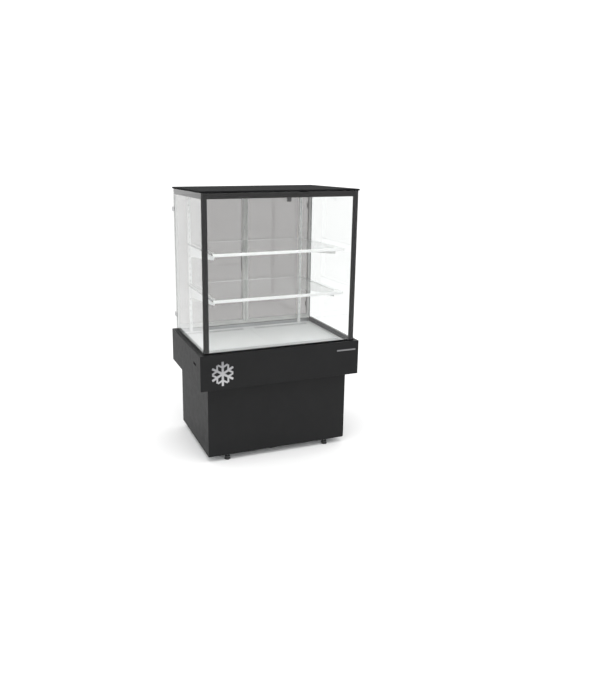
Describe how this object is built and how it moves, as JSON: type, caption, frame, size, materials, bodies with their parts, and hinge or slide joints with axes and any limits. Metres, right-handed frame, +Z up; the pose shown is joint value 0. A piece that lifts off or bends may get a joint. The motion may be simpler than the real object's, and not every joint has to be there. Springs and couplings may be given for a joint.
{
  "type": "refrigerated deli case",
  "caption": "Refrigerated glass display cube with rear doors and shelves on a wide cooled body over a closed machine cabinet.",
  "frame": {"origin": "middle of the overall box on the floor, under the four levelling feet", "axes": "+Z up, front glass towards -Y, doors towards +Y, +X to the right seen from the front"},
  "size_m": [1, 0.7085, 1.586],
  "materials": {
    "black_paint": "satin",
    "cabinet_paint": "satin",
    "galvanised": "satin",
    "steel_liner": "brushed",
    "foam": "matte",
    "white_tray": "satin",
    "black_rail": "anodised",
    "silver_profile": "anodised",
    "pale_profile": "satin",
    "clear_glass": "polished",
    "door_pane": "polished",
    "black_print": "gloss",
    "lamp_lens": "frosted",
    "seal_rubber": "matte",
    "satin_steel": "brushed",
    "badge_steel": "brushed",
    "white_profile": "satin",
    "black_plastic": "matte",
    "key_plastic": "matte",
    "foot_rubber": "matte",
    "compressor_paint": "gloss",
    "fin_aluminium": "bare",
    "copper": "bright",
    "drain_plastic": "matte"
  },
  "bodies": {
    "case": {"badge": "badge_steel", "base_plate": "galvanised", "body_shell": "black_paint", "cabinet_frame": "galvanised", "compressor": "compressor_paint", "condenser_coil": "fin_aluminium", "condenser_shroud": "galvanised", "controller": "black_plastic", "deck_left": "white_tray", "deck_right": "white_tray", "drain_pipe": "drain_plastic", "drip_tray": "drain_plastic", "electrical_box": "key_plastic", "evaporator_coil": "fin_aluminium", "fan_deck": "steel_liner", "fan_motors": "black_plastic", "front_glass": "clear_glass", "front_grille": "white_tray", "front_panel": "cabinet_paint", "glass_borders": "black_print", "glass_rail": "black_rail", "hinge_brackets": "satin_steel", "insulation": "foam", "lamp_diffuser": "lamp_lens", "lamp_housing": "silver_profile", "left_glass": "clear_glass", "left_panel": "cabinet_paint", "power_inlet": "black_plastic", "rear_apron": "cabinet_paint", "rear_frame": "pale_profile", "rear_grille": "cabinet_paint", "refrigerant_pipes": "copper", "right_glass": "clear_glass", "right_panel": "cabinet_paint", "shelf_brackets": "white_profile", "shelf_edges": "white_profile", "shelf_panes": "clear_glass", "shelf_uprights": "white_profile", "switch_bezel": "black_plastic", "top_panel": "black_paint", "tub_liner": "steel_liner"},
    "left_door": {"left_door_frame": "pale_profile", "left_door_glass": "door_pane", "left_door_seal": "seal_rubber", "left_door_hinges": "satin_steel", "left_door_handle": "satin_steel"},
    "right_door": {"right_door_frame": "pale_profile", "right_door_glass": "door_pane", "right_door_seal": "seal_rubber", "right_door_hinges": "satin_steel", "right_door_handle": "satin_steel"},
    "condenser_fan_rotor": {"condenser_fan": "black_plastic"},
    "evaporator_fan_rotor": {"evaporator_fan": "black_plastic"},
    "front_left_foot": {"foot_front_left": "foot_rubber"},
    "front_right_foot": {"foot_front_right": "foot_rubber"},
    "rear_left_foot": {"foot_rear_left": "foot_rubber"},
    "rear_right_foot": {"foot_rear_right": "foot_rubber"},
    "rocker": {"rocker_switch": "black_plastic"},
    "up_key": {"key_up": "key_plastic"},
    "down_key": {"key_down": "key_plastic"}
  },
  "joints": [
    {"name": "left_door_hinge", "type": "hinge", "parent": "case", "child": "left_door", "pos_m": [-0.474, 0.32825, 1.1125], "axis": [0, 0, 1], "range_deg": [0, 110]},
    {"name": "right_door_hinge", "type": "hinge", "parent": "case", "child": "right_door", "pos_m": [0.474, 0.32825, 1.1125], "axis": [0, 0, -1], "range_deg": [0, 110]},
    {"name": "condenser_fan_spin", "type": "hinge", "parent": "case", "child": "condenser_fan_rotor", "pos_m": [-0.25, 0.20225, 0.21], "axis": [0, 1, 0], "continuous": true},
    {"name": "evaporator_fan_spin", "type": "hinge", "parent": "case", "child": "evaporator_fan_rotor", "pos_m": [0, -0.06175, 0.578], "axis": [0, 1, 0], "continuous": true},
    {"name": "front_left_foot_screw", "type": "slide", "parent": "case", "child": "front_left_foot", "axis": [0, 0, -1], "range_m": [0, 0.015]},
    {"name": "front_right_foot_screw", "type": "slide", "parent": "case", "child": "front_right_foot", "axis": [0, 0, -1], "range_m": [0, 0.015]},
    {"name": "rear_left_foot_screw", "type": "slide", "parent": "case", "child": "rear_left_foot", "axis": [0, 0, -1], "range_m": [0, 0.015]},
    {"name": "rear_right_foot_screw", "type": "slide", "parent": "case", "child": "rear_right_foot", "axis": [0, 0, -1], "range_m": [0, 0.015]},
    {"name": "rocker_tilt", "type": "hinge", "parent": "case", "child": "rocker", "pos_m": [-0.493, -0.23125, 0.602], "axis": [0, 0, 1], "range_deg": [-5, 5]},
    {"name": "up_key_press", "type": "slide", "parent": "case", "child": "up_key", "axis": [0, -1, 0], "range_m": [0, 0.0008], "stiffness_N_per_m": 400, "springref_m": -0.0003},
    {"name": "down_key_press", "type": "slide", "parent": "case", "child": "down_key", "axis": [0, -1, 0], "range_m": [0, 0.0008], "stiffness_N_per_m": 400, "springref_m": -0.0003}
  ]
}
